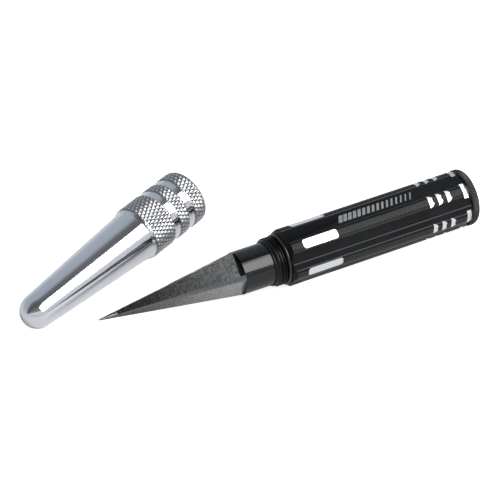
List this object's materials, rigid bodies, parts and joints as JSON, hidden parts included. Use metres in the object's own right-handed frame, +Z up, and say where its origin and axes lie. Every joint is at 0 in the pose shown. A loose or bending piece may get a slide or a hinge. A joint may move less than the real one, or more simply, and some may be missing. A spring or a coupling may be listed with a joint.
{
  "type": "body reamer",
  "caption": "Tapered steel hole reamer on a black ribbed aluminium handle with a bright turned cap lying beside it, for opening holes in thin plastic shells.",
  "frame": {"origin": "on the table, under the middle of the tool and its cap together", "axes": "+X along the tool from the point to the handle's end, +Z up from the table, +Y toward the side where the cap lies"},
  "size_m": [0.151, 0.06, 0.0207],
  "materials": {
    "ground_steel": "ground flats, black oxide shank",
    "black_anodised": "satin black anodise, bright-cut windows, notches and band",
    "dark_anodised": "straight knurl, dark anodise",
    "black_steel": "black oxide",
    "black_rubber": "smooth",
    "bright_aluminium": "polished cone and dome, diamond-knurled bands"
  },
  "bodies": {
    "tool": {"reamer": "ground_steel", "handle": "black_anodised", "end_screw": "black_steel", "seal_ring": "black_rubber"},
    "end_cap": {"end_cap": "dark_anodised"},
    "cap": {"cap": "bright_aluminium"}
  },
  "joints": [
    {"name": "end_cap_turn", "type": "hinge", "parent": "tool", "child": "end_cap", "pos_m": [0.07292, -0.02056, 0.00945], "axis": [1, 0, 0], "continuous": true},
    {"name": "cap_swing", "type": "hinge", "parent": "tool", "child": "cap", "pos_m": [-0.16266, 0.22908, 0], "axis": [-0.0864, 0.2145, -0.9729], "range_deg": [0, 21.1]}
  ]
}
